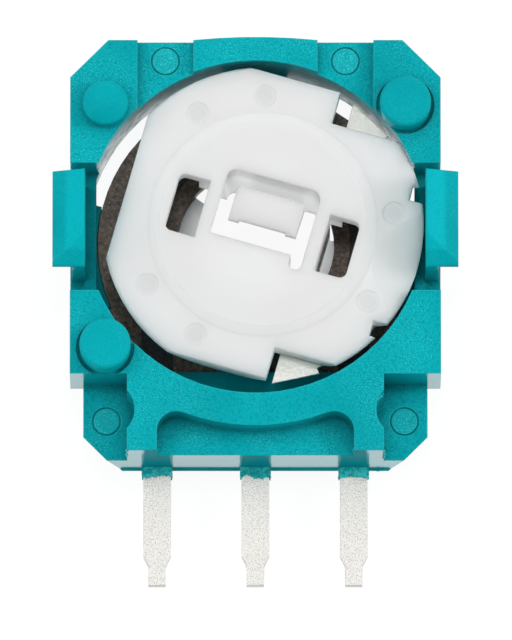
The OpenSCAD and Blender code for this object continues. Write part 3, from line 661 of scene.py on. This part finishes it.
def pin_flash(name, node):
    """A ragged sleeve round a pin, where it leaves the housing."""
    low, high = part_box(node)
    centre = (low.x + high.x) / 2
    root = FOOT + FLASH_ROOT
    length = FLASH_LENGTH + FLASH_ROOT
    bm = bmesh.new()
    inner = rectangle(bm, PIN_HALF, low.z, high.z, centre, root, FLASH_CUTS)
    outer = rectangle(
        bm, PIN_HALF + FLASH_WALL, low.z - FLASH_WALL, high.z + FLASH_WALL, centre, root, FLASH_CUTS
    )
    ring = bmesh.ops.bridge_loops(bm, edges=inner + outer)["faces"]
    for _ in range(FLASH_STEPS):
        drawn = bmesh.ops.extrude_face_region(bm, geom=ring)["geom"]
        ring = [item for item in drawn if isinstance(item, bmesh.types.BMFace)]
        moved = [item for item in drawn if isinstance(item, bmesh.types.BMVert)]
        bmesh.ops.translate(bm, verts=moved, vec=(0, -length / FLASH_STEPS, 0))
    bmesh.ops.remove_doubles(bm, verts=bm.verts, dist=WELD)
    bmesh.ops.recalc_face_normals(bm, faces=bm.faces)
    middle = Vector((centre, 0, (low.z + high.z) / 2))
    for vert in bm.verts:
        along = (root - vert.co.y) / length
        across = Vector((vert.co.x, vert.co.z, 0))
        wavy = noise.noise(across / WAVE_CELL) * WAVE_REACH
        torn = noise.noise(across / TEAR_CELL) * TEAR_REACH
        vert.co.y += (wavy + torn) * along
        away = vert.co - middle
        away.y = 0
        crust = max(0.0, noise.noise(vert.co / CRUST_CELL))
        vert.co += away.normalized() * crust * CRUST_REACH
    piece = make_piece(name, bm, flash_teal)
    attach(piece, "base")


for side in ("left", "centre", "right"):
    pin_flash(side + "_pin_flash", side + "_terminal")

# %% [markdown]
# Thin burrs stand along the lower edges of the two columns, beside the pins and at one spot on the opening's
# rim, where the mould had begun to wear. Each burr is a row of jagged crumbs, small spheres that noise has
# pulled out of shape, and the rows are one piece of the same torn teal.

# %% Burrs
BURR_ROWS = (
    # from and to in mm, number of crumbs, largest radius in mm
    ((-3.26, -5.79, 3.0), (-3.26, -5.79, 2.2), 9, 0.045),
    ((-2.64, -5.79, 2.98), (-2.5, -5.79, 2.9), 3, 0.04),
    ((2.5, -5.79, 3.0), (2.53, -5.79, 2.55), 8, 0.05),
    ((3.26, -5.79, 3.0), (3.26, -5.79, 2.1), 8, 0.04),
    ((3.25, -4.34, 2.99), (3.1, -4.5, 2.99), 6, 0.035),
    ((3.05, -5.83, 0.55), (3.3, -5.83, 0.55), 5, 0.04),
    ((2.13, -5.84, 0.9), (2.12, -6.15, 0.88), 7, 0.04),
    ((0.38, -5.86, 0.88), (0.37, -6.1, 0.88), 5, 0.03),
    ((3.37, -2.73, 2.99), (3.73, -2.21, 2.99), 7, 0.025),
)
BURR_SMALLEST = 0.35
BURR_ROUGH = 0.7
BURR_BUMPS = 1.3
NOISE_SPAN = 9
chance = random.Random(5)
bm = bmesh.new()
for start, end, count, radius in BURR_ROWS:
    for i in range(count):
        middle = Vector(start).lerp(Vector(end), (i + chance.random()) / count) * MM
        reach = radius * MM * chance.uniform(BURR_SMALLEST, 1.0)
        crumb = bmesh.ops.create_icosphere(bm, subdivisions=2, radius=reach)["verts"]
        shift = Vector([chance.uniform(0, NOISE_SPAN) for _ in range(3)])
        for vert in crumb:
            vert.co *= 1 + BURR_ROUGH * noise.noise(vert.co / reach * BURR_BUMPS + shift)
        bmesh.ops.translate(bm, verts=crumb, vec=middle)
burrs = make_piece("moulding_burrs", bm, flash_teal)
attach(burrs, "base")

# %% [markdown]
# The part lies on its back on a plain white table. The table glows a little for rays that come from the
# camera or from a shiny surface, so that it is white in the picture without more light on the part, and
# keeps some plain colour, which takes the shadow.

# %% Table
TABLE_SIZE = 400 * MM
TABLE_GAP = 0.002 * MM
TABLE_GLOW = 0.92
TABLE_PLAIN = (0.85, 0.85, 0.85, 1)
TABLE_SHADE = (0.12, 0.12, 0.12, 1)
PURE_WHITE = (1, 1, 1, 1)
table_white = bpy.data.materials.new("table_white")
tree = empty_tree(table_white)
rays = place(tree, "LightPath").outputs
seen = reckon(tree, "MAXIMUM", rays["Is Camera Ray"], rays["Is Glossy Ray"])
lit = place(tree, "AddShader")
for socket, shader in zip(lit.inputs, (
    place(tree, "Emission", Color=PURE_WHITE, Strength=TABLE_GLOW),
    place(tree, "BsdfDiffuse", Color=TABLE_SHADE),
)):
    tree.links.new(shader.outputs[0], socket)
plain = place(tree, "BsdfDiffuse", Color=TABLE_PLAIN)
place(tree, "OutputMaterial", Surface=blend_shaders(tree, seen, plain, lit))

bm = bmesh.new()
bmesh.ops.create_grid(bm, x_segments=1, y_segments=1, size=TABLE_SIZE / 2)
bmesh.ops.translate(bm, verts=bm.verts, vec=(0, 0, cad_box[0].z - TABLE_GAP))
table = make_piece("table", bm, table_white)

# %% [markdown]
# Soft light comes from high on the left, from the left and from behind, as in a light tent, so no side of
# the part is dark. A smaller lamp almost straight above draws the shadows in the deep windows, and a small
# one on the right is low enough for the hook there to shade the rotor's edge. The world is white for the
# camera and a plain grey for everything else.

# %% Light
LAMPS = (
    # name, azimuth and elevation in degrees, distance and size in mm, watts
    ("high_lamp", -100, 68, 120, 80, 0.011),
    ("top_lamp", 180, 83, 150, 22, 0.028),
    ("left_lamp", -100, 34, 75, 60, 0.012),
    ("right_lamp", 95, 37, 110, 30, 0.036),
    ("back_lamp", 180, 46, 100, 80, 0.012),
)
TENT_COLOUR = (0.985, 0.992, 1, 1)
TENT_LIGHT = 0.46
for name, azimuth, elevation, away, size, watts in LAMPS:
    lamp = bpy.data.lights.new(name, "AREA")
    lamp.energy = watts
    lamp.size = size * MM
    holder = bpy.data.objects.new(name, lamp)
    bpy.context.scene.collection.objects.link(holder)
    turn_round, lift = math.radians(azimuth), math.radians(elevation)
    way_out = Vector((
        math.sin(turn_round) * math.cos(lift), -math.cos(turn_round) * math.cos(lift), math.sin(lift)
    ))
    holder.location = way_out * away * MM
    holder.rotation_euler = way_out.to_track_quat("Z", "Y").to_euler()
    print(name, watts, "W")

world = bpy.data.worlds.new("tent")
bpy.context.scene.world = world
tree = empty_tree(world)
looked_at = place(tree, "LightPath").outputs["Is Camera Ray"]
dim = place(tree, "Background", Color=TENT_COLOUR, Strength=TENT_LIGHT)
bright = place(tree, "Background", Color=PURE_WHITE, Strength=1.0)
place(tree, "OutputWorld", Surface=blend_shaders(tree, looked_at, dim, bright))
bpy.context.scene.view_settings.view_transform = "Standard"
print("world:", world.name)

# %% [markdown]
# The camera looks down on the front from the side of the pins, about twelve degrees off square, through
# a long lens, so that the shape stays nearly as in a drawing.

# %% Camera
TILT = math.radians(78.5)
VIEW_TALL = 16.24 * MM
AIM = Vector((0.015, -2.43, 3.0)) * MM
LENS = 1200.0
SENSOR = 36.0
CLIP_NEAR, CLIP_FAR = 0.1, 20
camera_data = bpy.data.cameras.new("camera")
camera_data.lens = LENS
camera_data.sensor_width = SENSOR
camera = bpy.data.objects.new("camera", camera_data)
bpy.context.scene.collection.objects.link(camera)
back = Vector((0, -math.cos(TILT), math.sin(TILT)))
distance = VIEW_TALL * LENS / SENSOR
camera.location = AIM + back * distance
camera.rotation_euler = (-back).to_track_quat("-Z", "Y").to_euler()
camera_data.clip_start = distance * CLIP_NEAR
camera_data.clip_end = distance * CLIP_FAR
bpy.context.scene.camera = camera
print("camera:", round(distance / MM, 1), "mm away")
